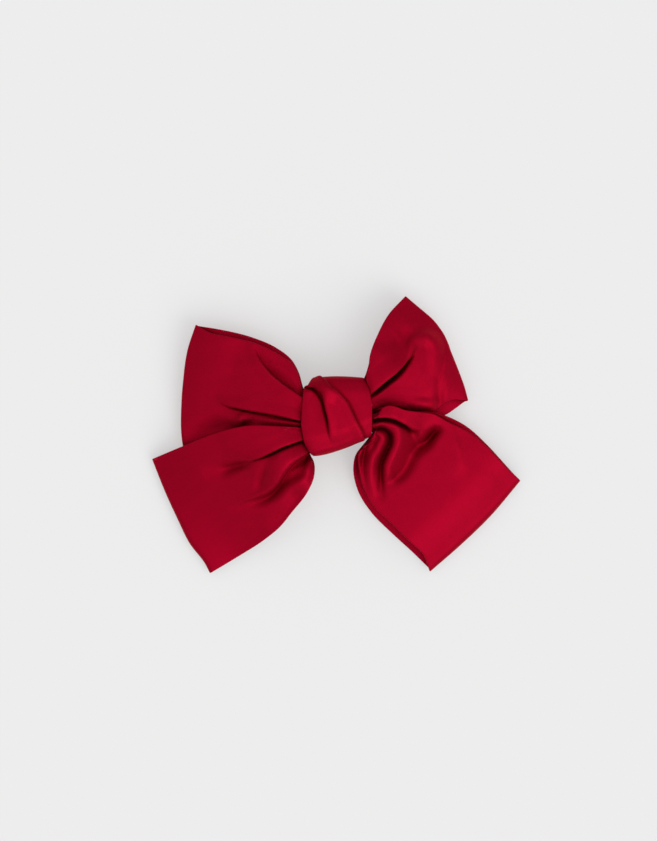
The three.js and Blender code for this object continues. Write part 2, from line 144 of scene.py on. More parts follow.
# ---------------------------------------------------------------- lobes
# Each lobe has a front and a back layer. A layer's two side edges run from the knot to the
# pressed fold at the lobe's end, as (x, y, z) points, and `crown` puffs the layer up between
# them. `end` bows the pressed fold outwards: (fraction across from the bottom edge, by how
# much).
LOBES = {
    "upper_left": dict(
        seed=1,
        front=dict(
            top=[(-12.5, 15.5, 22), (-14.6, 20.5, 22), (-16.6, 26.5, 21.4), (-19.6, 31, 20.4),
                 (-23.3, 33.6, 19.6),
                 (-32.2, 38.3, 18.2), (-40.5, 40.9, 16.8), (-48.7, 42.6, 15.8), (-56.1, 44.4, 13.6),
                 (-60.9, 47.3, 11.6)],
            bottom=[(-12.5, 4.4, 21.2), (-18, 3.6, 20.6), (-28, 3.2, 19), (-38, 2, 15.6), (-52, -2, 10.8),
                    (-66, -7, 6.8)],
            crown=1.5,
        ),
        back=dict(
            top=[(-12.5, 15.5, 16.6), (-14.6, 20.5, 16.2), (-16.4, 26.9, 15.4), (-19.2, 32.1, 15),
                 (-26.4, 37.8, 14), (-36.3, 42, 12.8), (-51.2, 45.7, 10.8), (-60.9, 47.3, 10)],
            bottom=[(-12.5, 6, 16.8), (-28, 4.6, 14), (-40, 2, 11.8), (-52, -2, 8.4), (-66, -7, 5)],
            crown=-1.0,
        ),
        end=[(0, 0), (0.04, 0.7), (0.39, 3.1), (0.56, 3.2), (0.8, 2.5), (1, 0)],
        creases=[
            dict(over="left", reach=4.4, rows=[
                (-11, 14.2, 1.2, 1.4, 3.4, 0.4, 0.6), (-14.4, 16.1, 1.4, 1.5, 3.6, 0.5, 0.7),
                (-22.2, 21.2, 1.5, 1.9, 4.0, 0.6, 0.8), (-28.6, 26.8, 1.4, 2.0, 3.4, 0.7, 0.9),
                (-32.4, 31, 1.2, 2.2, 2.4, 0.6, 0.7), (-35.6, 36, 0.8, 2.4, 1.0, 0.3, 0.2),
                (-37.4, 40, 0, 3.6)]),
            dict(over="right", reach=1.3, rows=[
                (-11, 6.3, 1.1, 1.4, 2.8, 0.4, 0.7), (-14.9, 6.6, 1.2, 1.5, 3.0, 0.5, 0.9),
                (-22.2, 8.2, 1.2, 1.8, 3.0, 0.6, 0.7), (-28.7, 9.6, 1.2, 2.0, 3.0, 0.7, 0.7),
                (-35, 10.6, 1.3, 2.2, 2.8, 0.9, 1.0), (-41.5, 12, 1.2, 2.6, 2.2, 0.9, 1.2),
                (-47, 13.4, 0.9, 2.8, 1.4, 0.6, 0.6), (-53, 15.8, 0, 3.4)]),
            dict(rows=[(-11, 5, 0.5, 1.3), (-16, 5.2, 0.8, 1.4), (-24, 5.9, 1.0, 1.8), (-31, 6.6, 0.8, 2.2),
                       (-36, 7.4, 0, 2.4)]),
            dict(rows=[(-35, 6, 0, 2.4), (-38.6, 4.8, -2.2, 2.6), (-42.5, 3.4, -1.9, 3.4),
                       (-47, 3.6, -1.4, 5),
                       (-53, 3.8, -1.8, 7), (-60, 1, -1.2, 8), (-66, -2, 0, 8)]),
            dict(rows=[(-41, 10, 0, 2.2), (-41.4, 7.6, 1.3, 2.4), (-42.3, 5, 1.0, 2.4), (-44, 2.6, 0, 2.4)]),
        ],
    ),
    "upper_right": dict(
        seed=2,
        front=dict(
            top=[(9.5, 20, 22), (12.4, 25.2, 22), (13.8, 29.5, 21.8), (14.4, 34, 21.4), (18.2, 43.8, 19.5),
                 (23, 52.1, 16), (30.1, 59.9, 11)],
            bottom=[(12, 11, 21.6), (15, 11.4, 19.8), (25, 12.6, 16), (33, 10.8, 14), (40.9, 10, 12.9),
                    (44.4, 12.4, 13), (47.6, 14.9, 12.9), (51.4, 16.3, 11.8), (56.6, 16.2, 10)],
            crown=2.0,
        ),
        back=dict(
            top=[(9.5, 20, 16.6), (12.4, 25.2, 16), (13.8, 29.5, 15.2), (14.8, 34, 14.4), (18.8, 43.8, 12.6),
                 (23.6, 52.1, 11), (30.1, 59.9, 9.4)],
            bottom=[(12, 11, 16.4), (25, 12.6, 13.2), (38, 8, 11), (47.5, 9.3, 8), (52.9, 12.7, 7.2),
                    (56.9, 15.7, 7.4)],
            crown=-1.0,
        ),
        end=[(0, 0), (0.11, 1.6), (0.24, 2.9), (0.4, 4.3), (0.48, 5.1), (0.57, 5.6), (0.64, 5.4), (0.72, 4.8),
             (0.8, 3.5), (0.89, 1.9), (1, 0)],
        creases=[
            dict(over="left", reach=2.2, rows=[
                (11, 15.8, 0.9, 1.6, 4.0, 0.2, 2.0), (14.2, 17.8, 1.2, 1.7, 4.8, 0.6, 3.4),
                (20.9, 23.3, 2.3, 2.2, 5.4, 2.0, 5.4), (26, 27.4, 2.3, 2.4, 4.8, 2.0, 5.2),
                (29.8, 31.8, 1.8, 2.6, 3.2, 1.4, 3.2), (32.6, 36.4, 0.7, 3, 0.8, 0.6, 0.8),
                (34.4, 40, 0, 3)]),
            dict(rows=[(30, 33.4, 0, 2.6), (31.8, 37.4, 1.4, 3.0), (35, 41.2, 2.1, 3.8), (39.6, 43, 2.1, 5.0),
                       (43.4, 40.4, 1.7, 5.4), (44.6, 34, 1.2, 5.6), (43.5, 26, 0, 5)]),
            dict(over="left", rows=[(49.4, 40, 0, 1, 0, 0), (48.4, 35.3, 0.6, 0.8, 0.4, 0.6),
                                    (47.2, 29.1, 0.6, 0.8, 0.4, 0.6),
                                    (45.6, 23.5, 0.4, 1.0, 0.2, 0.4), (44.6, 18, 0, 2)]),
            dict(rows=[(46, 27, 0, 4), (45.4, 20, -1.0, 3.4), (45, 16, -1.0, 3.4), (45, 11, -0.5, 3)]),
            dict(rows=[(33, 47, 0, 5), (28.5, 43, -1.0, 6), (26.5, 36, -0.8, 6), (22, 28, 0, 5)]),
            dict(rows=[(28, 14.4, 0, 3), (35, 14, 1.2, 3.4), (41, 14.2, 1.2, 3.4), (45, 16.5, 0, 4)]),
        ],
    ),
    "lower_left": dict(
        seed=3,
        front=dict(
            top=[(-12.5, 3, 22.4), (-16, 3.3, 22.8), (-24.6, 3.8, 23), (-38.2, 4.1, 21.4), (-53.4, 0.3, 16.6),
                 (-67.5, -5.3, 11), (-80.1, -10.5, 4)],
            bottom=[(-11, -1.6, 21.6), (-12.6, -4.6, 20.8), (-11.8, -7.8, 20.2), (-9.9, -11.4, 20.4),
                    (-9.8, -17.3, 20.8),
                    (-12.3, -23.5, 20.6), (-19.4, -32.9, 18), (-24.6, -39.2, 14.8), (-32.5, -45.7, 10.4),
                    (-44, -53.1, 5.8), (-55.1, -59.8, 4)],
            crown=2.0,
            end_crown=1.2,
        ),
        back=dict(
            top=[(-12.5, 2, 16.8), (-24.6, 2, 16), (-38.2, 2, 17.6), (-53.4, -1.4, 13.4), (-67.5, -6.4, 8.8),
                 (-80.1, -10.5, 1.6)],
            bottom=[(-11, -1.6, 17), (-12.6, -4.6, 15.6), (-11.8, -7.8, 14), (-10.6, -11.4, 12.6),
                    (-10.4, -17.3, 10),
                    (-13, -23.5, 7.4), (-20.2, -32.9, 4.6), (-25.4, -39.2, 3.2), (-33, -45.7, 2.2),
                    (-44.2, -52.6, 1.5), (-55.1, -59.8, 1.6)],
            crown=-0.4,
        ),
        end=[(0, 0), (0.08, 0), (0.28, 2.0), (0.49, 1.9), (0.72, 1.4), (1, 0)],
        creases=[
            dict(over="right", reach=1.5, rows=[
                (-11, -0.4, 0.6, 1.3, 2.6, 0.1, 1.2), (-14.4, -1.5, 1.0, 1.4, 2.8, 0.3, 1.8),
                (-22.4, -4.5, 1.3, 1.6, 3.0, 0.7, 2.4), (-29.4, -7.6, 1.1, 2.2, 2.2, 0.7, 1.9),
                (-36, -9.8, 0.6, 3.0, 0.8, 0.5, 0.8), (-43, -11.8, 0, 4, 0, 0.3, 0)]),
            dict(over="right", reach=5.4, rows=[
                (-10.6, -5.6, 0.6, 1.6, 2.2, 0.2, 2.0), (-14, -7.9, 1.2, 2.2, 2.2, 0.7, 3.2),
                (-18.4, -10.8, 1.8, 2.8, 2.0, 1.3, 3.2), (-22.4, -15.1, 1.9, 3.2, 1.8, 1.5, 3.0),
                (-25.9, -20.1, 1.7, 3.4, 1.4, 1.3, 3.4), (-29.4, -23.6, 1.3, 3.6, 0.8, 0.9, 3.6),
                (-34.5, -26.2, 0.8, 3.8, 0.2, 0.4, 2.8), (-40, -28.2, 0.3, 4, 0, 0.2, 1.0),
                (-47, -30, 0, 5, 0, 0, 0)]),
            dict(rows=[(-35, -10.4, 0, 3), (-41, -12.4, -2.6, 3.8), (-46.5, -14.2, -3.0, 4.6),
                       (-52, -16, -1.4, 6),
                       (-59, -18, 0, 7)]),
            dict(rows=[(-12, -3.6, 0, 3), (-18, -6.4, 1.1, 4), (-23, -9.6, 1.7, 5), (-27, -15, 1.4, 5),
                       (-30, -21, 0, 5)]),
            dict(rows=[(-29, -12, 0, 2.6), (-31, -16, -1.2, 3), (-32.6, -19.6, -1.2, 3.2), (-34, -24, 0, 3)]),
            dict(rows=[(-10.6, -7, 0, 1.8), (-11.6, -11, 1.2, 2.2), (-12.2, -15, 1.0, 2.4),
                       (-15, -21, 1.2, 3.4),
                       (-19, -24, 0, 3)]),
            dict(rows=[(-12, -16.5, 0, 2), (-16, -16.4, -1.4, 2.8), (-19, -18.6, -1.2, 3), (-22, -22, 0, 3)]),
            dict(rows=[(-13, -20, 0, 3), (-16.5, -26, -1.6, 5), (-22, -33, -1.6, 5), (-30, -40, 0, 5)]),
        ],
    ),
    "lower_right": dict(
        seed=4,
        front=dict(
            top=[(12, 8, 22.4), (15, 9.8, 22.6), (18.5, 11.8, 22.8), (22.4, 12.6, 22.4), (29.8, 10.6, 20.6),
                 (35.5, 9.9, 19), (41.4, 9.2, 17), (48, 5.6, 14.6), (56, 1.6, 13), (64, -4.4, 12.2),
                 (72, -12.4, 10), (79.9, -19.8, 4.8)],
            bottom=[(12, 3.2, 21.8), (16.1, 1.8, 21.4), (16.4, -1, 20.8), (14, -3.7, 20.2),
                    (11.2, -5.4, 19.2),
                    (9.5, -8.5, 18), (9.6, -12.5, 16),
                    (11.2, -20.7, 13.6), (16.1, -30.2, 12.6), (25, -39, 12.2), (32.9, -46.9, 10.8),
                    (39.2, -53.2, 7.6), (41.4, -58.8, 4.8)],
            crown=0.6,
            end_crown=2.0,
        ),
        back=dict(
            top=[(12, 8, 17), (15, 9.8, 17.4), (18.5, 11.6, 18.8), (22.4, 12.4, 18.8), (29.8, 10.4, 16.8),
                 (41.7, 9.9, 15),
                 (54.3, 4.9, 9.8), (66.9, -5.7, 4.6), (73.7, -13, 2.4), (79.9, -19.8, 1.6)],
            bottom=[(12, 3.2, 17), (16, 1.6, 16.6), (15.8, -1.2, 15.6), (13, -3.8, 14.6),
                    (10.4, -5.6, 13.6), (8.2, -8.8, 12),
                    (7.4, -13.8, 9.4), (9.4, -23.9, 5.4),
                    (15.6, -33.8, 3.6), (25, -43.3, 2.4), (35.5, -53, 1.6), (41.4, -58.8, 1.6)],
            crown=-0.6,
        ),
        end=[(0, 0), (0.3, 1.2), (0.63, 1.6), (1, 0)],
        creases=[
            dict(over="left", reach=2.2, rows=[
                (11, 6.8, 1.2, 1.2, 2.4, 0.6, 1.8), (15.2, 7.4, 1.4, 1.4, 2.8, 0.9, 3.2),
                (20.5, 8.1, 1.6, 1.6, 2.8, 1.2, 3.4), (24.8, 7.3, 1.2, 1.6, 2.2, 1.0, 3.0),
                (28.9, 5.3, 1.6, 2.0, 2.8, 1.4, 2.4), (32.1, 3.4, 1.2, 2.4, 1.8, 1.2, 1.8),
                (36.4, 2.6, 0.4, 3.0, 0.4, 0.4, 0.4), (40, 2.4, 0, 4)]),
            dict(rows=[(11, 2.6, -2.0, 1.1), (15.2, 2.9, -2.8, 1.2), (20, 3.1, -3.2, 1.3),
                       (22.8, 0.7, -3.6, 1.4),
                       (23.1, -2.6, -3.8, 1.5), (20.9, -7.8, -3.4, 1.5), (19.4, -12, -2.8, 1.6),
                       (19.2, -16.5, -2.4, 1.9), (19.3, -22.5, -1.6, 2.6), (19.6, -29, 0, 4)]),
            dict(rows=[(11, 4.9, 0.6, 1.4), (15.2, 4.8, 0.8, 1.5), (22, 5.2, 1.4, 2.4), (25.8, 2.6, 2.2, 3.8),
                       (26.2, -2, 2.8, 4.6), (24, -8.4, 2.8, 4.6), (21.9, -14, 2.6, 4.2),
                       (22.8, -18.5, 1.2, 3.8), (25, -22, 0, 3)]),
            dict(rows=[(16.5, 2.2, 0.4, 1.4), (19.6, -0.5, 2.0, 2.2), (18.2, -4.7, 2.6, 2.8),
                       (15.4, -9.9, 2.6, 3.2),
                       (14.6, -15.2, 2.2, 3.2), (15.2, -21, 1.2, 3.2), (16.6, -27, 0, 3)]),
            dict(rows=[(31.4, 3, -1.2, 2.6), (34, -3.6, -2.8, 5), (32, -9.9, -2.8, 5), (28, -17, -2.4, 4.4),
                       (23, -20.4, -1.2, 3.8), (20, -22, 0, 3)]),
            dict(rows=[(45.4, 4.4, 0, 3), (41.8, 0.8, -4.8, 3.4), (38, -3.8, -4.2, 4.6),
                       (34.5, -6.6, -1.2, 4.8), (32, -8, 0, 4)]),
            dict(over="right", rows=[(45.6, 10, 0, 2, 0, 0), (50.2, 3.8, 0, 1.9, 0, 0.9),
                                     (53.4, -4.8, 0, 1.9, 0, 1.4),
                                     (55, -12, 0, 2.2, 0, 1.0), (55.6, -20, 0, 3, 0, 0)]),
            dict(rows=[(13.6, -1.8, -1.2, 1.6), (12.3, -5.4, -1.6, 2), (11, -12, -1.0, 2),
                       (11.6, -18, 0, 2)]),
        ],
    ),
}


def profile(points, places):
    """A smooth curve through (place, value) points, read at the given places."""
    at, value = np.transpose(np.array(points, float))
    slope = np.gradient(value, at)
    k = np.clip(np.searchsorted(at, places, side="right") - 1, 0, len(at) - 2)
    step = at[k + 1] - at[k]
    q = (places - at[k]) / step
    start = (2 * q**3 - 3 * q**2 + 1) * value[k] + (q**3 - 2 * q**2 + q) * step * slope[k]
    return start + (3 * q**2 - 2 * q**3) * value[k + 1] + (q**3 - q**2) * step * slope[k + 1]


def outwards(row):
    """The direction in plan, square to a row of points, that leads away from the knot."""
    across = row[-1, :2] - row[0, :2]
    out = np.array([across[1], -across[0]]) / np.linalg.norm(across)
    return out if out @ (row[0, :2] + row[-1, :2]) > 0 else -out


def layer_grid(layer, rows, end):
    """One layer of a lobe, as a grid of points: rows from the knot out, columns bottom to top."""
    s = np.linspace(0, 1, rows + 1)
    t = np.linspace(0, 1, COLUMNS + 1)
    low, high = spline(layer["bottom"], s), spline(layer["top"], s)
    grid = lerp(low[:, None, :], high[:, None, :], t[None, :, None])
    arch = 4 * t * (1 - t)
    bowed = profile(end, t)
    grid[..., :2] += outwards(grid[-1]) * (loosening(rows)[:, None] * bowed)[..., None]
    grid[..., 2] += arch * (layer["crown"] * np.sin(np.pi * s) + layer.get("end_crown", 0) * s**2)[:, None]
    return grid


def loosening(rows):
    """How far each row, from the knot out, takes part in the shape of the lobe's end."""
    return smooth((np.linspace(0, 1, rows + 1) - 0.35) / 0.65)


def gathers(rows, depth, seed):
    """Waves across a layer that die away from the knot outwards."""
    rng = np.random.default_rng(seed)
    s = np.linspace(0, 1, rows + 1)[:, None]
    t = np.linspace(0, 1, COLUMNS + 1)[None, :]
    phase = rng.uniform(-0.5, 0.5, 3)
    warped = t + 0.03 * np.sin(2 * np.pi * (1.7 * t + phase[0])) * smooth(s * 4)
    wave = np.cos(2 * np.pi * GATHERS * warped + 2.5 * s * phase[1])
    edges = smooth(t * 12) * smooth((1 - t) * 12)
    return depth * wave * (1 - smooth(s / 0.62)) * lerp(1.0, edges, smooth(s * 6))


def ripples(shape, depth, seed):
    """Slight unevenness of the cloth, drawn out along the lobe."""
    rng = np.random.default_rng(seed)
    rows, columns = shape
    s = np.linspace(0, 1, rows)[:, None]
    t = np.linspace(0, 1, columns)[None, :]
    total = np.zeros(shape)
    for along, across, share in ((0.8, 2.3, 1.0), (1.6, 4.1, 0.6), (2.9, 7.3, 0.3)):
        a, b, c = rng.uniform(0, 2 * np.pi, 3)
        total += share * np.sin(2 * np.pi * along * s + a + 1.3 * np.sin(2 * np.pi * t + c)) * np.sin(
            2 * np.pi * across * t + b)
    return depth * total


def pressed_fold(front_end, back_end, inward_front, rows):
    """The rows of points round a pressed fold, between the last rows of the two layers."""
    middle = (front_end + back_end) / 2
    half = np.linalg.norm(front_end - back_end, axis=1) / 2
    out = front_end - inward_front
    out[:, 2] = 0
    out /= np.linalg.norm(out, axis=1)[:, None]
    up = (front_end - back_end) / (2 * half)[:, None]
    made = []
    for k in range(1, rows + 1):
        angle = math.pi * k / (rows + 1)
        made.append(middle + up * (half * math.cos(angle))[:, None] + out * (half * math.sin(angle))[:, None])
    return np.array(made)


def lobe_rows(lobe):
    """The front layer, the fold and the back layer of a lobe, from the knot out and back."""
    front = creased(layer_grid(lobe["front"], FRONT_ROWS, lobe["end"]), lobe["creases"])
    front[..., 2] += ripples(front.shape[:2], 0.16, lobe["seed"])
    back = layer_grid(lobe["back"], BACK_ROWS, lobe["end"])
    back[..., 2] += gathers(BACK_ROWS, 1.0, lobe["seed"] + 10)
    # The fold bulges past the layers' last rows, so those stop short of the lobe's end.
    reach = (front[-1, :, 2] - back[-1, :, 2] + CLOTH) / 2
    for layer, rows in ((front, FRONT_ROWS), (back, BACK_ROWS)):
        layer[..., :2] -= outwards(layer[-1]) * (loosening(rows)[:, None] * reach)[..., None]
    fold = pressed_fold(front[-1], back[-1], front[-2], BEND_ROWS)
    return front, fold, back


def waist(a, b, low_y, high_y, z):
    """Rows between two lobes' roots inside the knot, gathered into waves at its middle."""
    t = np.linspace(0, 1, COLUMNS + 1)
    wave = GATHER_HEIGHT * np.cos(2 * np.pi * GATHERS * t)
    rows = []
    for k in np.linspace(0, 1, WAIST_ROWS + 2)[1:-1]:
        row = lerp(a, b, k)
        drawn = smooth(min(k, 1 - k) / 0.3)
        row[:, 1] = lerp(row[:, 1], lerp(low_y, high_y, t), drawn)
        row[:, 2] = lerp(row[:, 2], z + wave, drawn)
        rows.append(row)
    return np.array(rows)


def relaxed(grid, rounds):
    """The ring of cloth after its sharpest kinks are evened out; its side edges stay."""
    for _ in range(rounds):
        around = (np.roll(grid, 1, 0) + np.roll(grid, -1, 0)) / 2
        across = (grid[:, :-2] + grid[:, 2:]) / 2
        evened = grid.copy()
        evened[:, 1:-1] = 0.5 * grid[:, 1:-1] + 0.25 * around[:, 1:-1] + 0.25 * across
        grid = evened
    return grid


def strip_grid(left, right, low_y, high_y):
    """The whole ring of a bow strip: rows round the ring, columns across its width."""
    lf, lfold, lb = lobe_rows(left)
    rf, rfold, rb = lobe_rows(right)
    ring = np.concatenate([
        lf[::-1], waist(lf[0], rf[0], low_y, high_y, WAIST_FRONT_Z), rf, rfold,
        rb[::-1], waist(rb[0], lb[0], low_y, high_y, WAIST_BACK_Z), lb, lfold[::-1],
    ])
    return relaxed(ring, 2)


# ---------------------------------------------------------------- meshes
def mesh_of_grid(name, grid, closed_rows=True, closed_columns=False):
    """A smooth-shaded quad mesh of a grid of points in mm, closed round its rows or columns."""
    rows, columns = grid.shape[:2]
    index = np.arange(rows * columns).reshape(rows, columns)
    a = index if closed_rows else index[:-1]
    b = np.roll(index, -1, axis=0) if closed_rows else index[1:]
    if closed_columns:
        quads = np.stack([a, b, np.roll(b, -1, 1), np.roll(a, -1, 1)], axis=-1)
    else:
        quads = np.stack([a[:, :-1], b[:, :-1], b[:, 1:], a[:, 1:]], axis=-1)
    mesh = bpy.data.meshes.new(name)
    mesh.from_pydata((grid.reshape(-1, 3) * MM).tolist(), [], quads.reshape(-1, 4).tolist())
    mesh.update()
    mesh.polygons.foreach_set("use_smooth", [True] * len(mesh.polygons))
    obj = bpy.data.objects.new(name, mesh)
    bpy.context.scene.collection.objects.link(obj)
    return obj


RIM_ANGLES = np.radians((45, 90, 135))    # points round a side edge of pressed cloth


def pressed_tube(grid, thickness):
    """A tube of cloth pressed flat round a ring grid: its section's points, and their places
    across the cloth. The side edges are round and stay inside the grid's own edges."""
    half = thickness / 2
    around = np.roll(grid, -1, 0) - np.roll(grid, 1, 0)
    normal = np.cross(np.gradient(grid, axis=1), around)
    normal /= np.linalg.norm(normal, axis=2)[..., None]
    middle = grid.copy()
    rims = []
    for edge, beside in ((0, 1), (-1, -2)):
        out = np.cross(around[:, edge], normal[:, edge])
        out *= np.sign((out * (grid[:, edge] - grid[:, beside])).sum(1))[:, None]
        out /= np.linalg.norm(out, axis=1)[:, None]
        room = np.linalg.norm(grid[:, edge] - grid[:, beside], axis=1)
        middle[:, edge] -= out * np.minimum(half, 0.6 * room)[:, None]
        rims.append([
            middle[:, edge] + half * (out * math.sin(angle) + normal[:, edge] * math.cos(angle))
            for angle in RIM_ANGLES
        ])
    above, below = middle + half * normal, middle - half * normal
    at = np.linspace(0, 1, grid.shape[1])
    sections = [above, np.stack(rims[1], axis=1), below[:, ::-1], np.stack(rims[0][::-1], axis=1)]
    places = [at, [1.004, 1.006, 1.004], at[::-1], [-0.004, -0.006, -0.004]]
    return np.concatenate(sections, axis=1), np.concatenate(places)


def add_uv(obj, places, rows, size):
    """UV in mm across the cloth and along it, on a mesh whose rows and columns are closed."""
    width, length = size
    columns = len(places)
    layer = obj.data.uv_layers.new(name="cloth")
    row, column = (k.reshape(-1) for k in np.mgrid[0:rows, 0:columns])
    after = (column + 1) % columns
    corner_rows = np.stack([row, row + 1, row + 1, row], axis=1)
    corner_columns = np.stack([column, column, after, after], axis=1)
    uv = np.stack([places[corner_columns] * width, corner_rows / rows * length], axis=-1)
    layer.data.foreach_set("uv", uv.reshape(-1).astype(np.float32))


def face_outwards(obj):
    shape = bmesh.new()
    shape.from_mesh(obj.data)
    bmesh.ops.recalc_face_normals(shape, faces=shape.faces)
    shape.to_mesh(obj.data)
    shape.free()


def apply_modifiers(obj):
    graph = bpy.context.evaluated_depsgraph_get()
    mesh = bpy.data.meshes.new_from_object(obj.evaluated_get(graph))
    obj.modifiers.clear()
    obj.data = mesh


# ---------------------------------------------------------------- materials
SATIN_FACE = (0.335, 0.0011, 0.0158, 1)
# Ramp stops below the lit face: darker thread tone, and painted shade in hollows and creases
SATIN_HALF_TONE_AND_SHADE = (0.175, 0.0003, 0.0045, 1)
SATIN_PAINTED_SHADE = (0.035, 0.0, 0.0003, 1)
# Painted highlight colour for sharp folds and edges
SATIN_PAINTED_HIGHLIGHT = (0.56, 0.016, 0.05, 1)


class Nodes:
    """Short calls for building one node tree."""

    def __init__(self, tree):
        self.nodes, self.links = tree.nodes, tree.links

    def add(self, kind, inputs=(), **settings):
        """A node of this kind. An input's value is a number, a tuple or another node's output."""
        node = self.nodes.new(kind)
        for key, value in settings.items():
            setattr(node, key, value)
        for key, value in dict(inputs).items():
            if isinstance(value, bpy.types.NodeSocket):
                self.links.new(value, node.inputs[key])
            else:
                node.inputs[key].default_value = value
        return node

    def math(self, operation, *values, clamp=False):
        node = self.add("ShaderNodeMath", dict(enumerate(values)), operation=operation, use_clamp=clamp)
        return node.outputs[0]

    def noise(self, where, scale, detail=2.0, stretch=(1, 1, 1)):
        placed = self.add("ShaderNodeMapping", {"Vector": where, "Scale": stretch})
        node = self.add("ShaderNodeTexNoise", {"Vector": placed.outputs[0], "Scale": scale, "Detail": detail})
        return node.outputs["Fac"]

    def mix(self, share, a, b):
        node = self.add("ShaderNodeMix", {0: share, 6: a, 7: b}, data_type="RGBA")
        return node.outputs[2]


def material(name):
    made = bpy.data.materials.new(name)
    made.use_nodes = True
    tree = Nodes(made.node_tree)
    return made, tree, made.node_tree.nodes["Principled BSDF"]


THREAD_PITCH = 0.22    # mm between the satin's threads, both ways
SATIN_HARNESS = 5      # a warp thread goes under every fifth weft thread
SATIN_STEP = 2
PAINTED_HIGHLIGHT_FROM, PAINTED_HIGHLIGHT_GAIN = 0.56, 9.0    # how sharp a turn has to be to get the painted highlight
PAINTED_SHADE_REACH = 4.0                  # mm within which painted shade darkens the satin's hollows and creases


def satin_material():
    """Warp-faced satin: long floats, a tie-down every fifth thread, slubs and a soft lustre, with painted
    shade in its hollows and painted highlights on its sharp edges.
    """
    made, tree, shader = material("satin")
    uv = tree.add("ShaderNodeUVMap", uv_map="cloth").outputs[0]
    across, along, _ = tree.add("ShaderNodeSeparateXYZ", {0: uv}).outputs
    warp = tree.math("DIVIDE", across, THREAD_PITCH)
    weft = tree.math("DIVIDE", along, THREAD_PITCH)
    # Which crossings are tie-downs: (weft + step * warp) is a multiple of the harness count.
    crossing = tree.math("MULTIPLY_ADD", tree.math("FLOOR", warp), SATIN_STEP, tree.math("FLOOR", weft))
    tie = tree.math("LESS_THAN", tree.math("FLOORED_MODULO", crossing, SATIN_HARNESS), 0.5)
    centred = tree.math("SUBTRACT", tree.math("FRACT", warp), 0.5)
    rounded = tree.math("SUBTRACT", 1.0, tree.math("MULTIPLY", tree.math("POWER", centred, 2), 3.2))
    weave = tree.math("MULTIPLY", rounded, tree.math("MULTIPLY_ADD", tie, -0.6, 1.0))
    slub = tree.noise(uv, 1.4, 3.0, (1.0, 0.06, 1.0))
    weft_slub = tree.noise(uv, 1.1, 2.0, (0.07, 1.0, 1.0))
    crinkle = tree.noise(uv, 0.16, 3.0, (1.0, 0.5, 1.0))
    # Painted shade: an ambient occlusion node darkens the colour in hollows and creases within the reach.
    painted_shade_ao = tree.add("ShaderNodeAmbientOcclusion", {"Distance": PAINTED_SHADE_REACH * MM}, samples=8).outputs["AO"]
    depth = tree.math("POWER", painted_shade_ao, 1.5)
    # Painted highlight: sharply curved folds and turned edges get a lighter, pinker colour.
    curved = tree.add("ShaderNodeNewGeometry").outputs["Pointiness"]
    edge = tree.math("MULTIPLY", tree.math("SUBTRACT", curved, PAINTED_HIGHLIGHT_FROM), PAINTED_HIGHLIGHT_GAIN, clamp=True)

    shade = tree.math("MULTIPLY_ADD", weave, 0.16, 0.84)
    shade = tree.math("MULTIPLY", shade, tree.math("MULTIPLY_ADD", slub, 0.4, 0.86))
    shade = tree.math("MULTIPLY", shade, tree.math("MULTIPLY_ADD", weft_slub, 0.24, 0.92))
    patches = tree.noise(uv, 1.6, 2.0)
    shade = tree.math("MULTIPLY", shade, tree.math("MULTIPLY_ADD", patches, 0.7, 0.65))
    # The colour falls from the lit face to the painted dark shade as thread tone times the painted shade
    # drops.
    ramp = tree.add("ShaderNodeValToRGB", {"Fac": tree.math("MULTIPLY", shade, depth, clamp=True)})
    stops = ramp.color_ramp.elements
    stops[0].color, stops[-1].color = SATIN_PAINTED_SHADE, SATIN_FACE
    stops.new(0.5).color = SATIN_HALF_TONE_AND_SHADE
    # The painted highlight is mixed over the ramp's colour.
    colour = tree.mix(tree.math("MULTIPLY", edge, 0.6), ramp.outputs["Color"], SATIN_PAINTED_HIGHLIGHT)
    tree.links.new(colour, shader.inputs["Base Color"])
    rough = tree.math("MULTIPLY_ADD", slub, 0.16, 0.33)
    tree.links.new(tree.math("MULTIPLY_ADD", tie, 0.08, rough), shader.inputs["Roughness"])
    shader.inputs["Metallic"].default_value = 0.55
    shader.inputs["Specular IOR Level"].default_value = 0.12
    shader.inputs["Specular Tint"].default_value = (1, 0.1, 0.25, 1)
    shader.inputs["Anisotropic"].default_value = 0.5
    tangent = tree.add("ShaderNodeTangent", direction_type="UV_MAP", uv_map="cloth").outputs[0]
    tree.links.new(tangent, shader.inputs["Tangent"])
    shader.inputs["Sheen Weight"].default_value = 0.1
    shader.inputs["Sheen Roughness"].default_value = 0.4
    shader.inputs["Sheen Tint"].default_value = (1, 0.02, 0.12, 1)
    height = tree.math("MULTIPLY_ADD", slub, 0.5, tree.math("MULTIPLY_ADD", crinkle, 5.0, weave))
    bumped = tree.add("ShaderNodeBump", {"Height": height, "Distance": 0.00005, "Strength": 0.6})
    tree.links.new(bumped.outputs[0], shader.inputs["Normal"])
    return made


def object_place(tree):
    """Places on a piece in mm, which move with it."""
    coordinates = tree.add("ShaderNodeTexCoord").outputs["Object"]
    in_mm = {0: coordinates, 1: (1 / MM,) * 3}
    return tree.add("ShaderNodeVectorMath", in_mm, operation="MULTIPLY").outputs[0]


def thread_material():
    """Polyester sewing thread: fine fibres, matt, with a few stray light ones."""
    made, tree, shader = material("thread")
    place = object_place(tree)
    fibre = tree.noise(place, 9.0, 4.0)
    tone = tree.mix(fibre, (0.13, 0.0008, 0.005, 1), (0.42, 0.006, 0.03, 1))
    tree.links.new(tone, shader.inputs["Base Color"])
    tree.links.new(tree.math("MULTIPLY_ADD", fibre, 0.25, 0.45), shader.inputs["Roughness"])
    shader.inputs["Sheen Weight"].default_value = 0.3
    shader.inputs["Sheen Tint"].default_value = (1, 0.2, 0.3, 1)
    bumped = tree.add("ShaderNodeBump", {"Height": fibre, "Distance": 0.00004, "Strength": 0.7})
    tree.links.new(bumped.outputs[0], shader.inputs["Normal"])
    return made


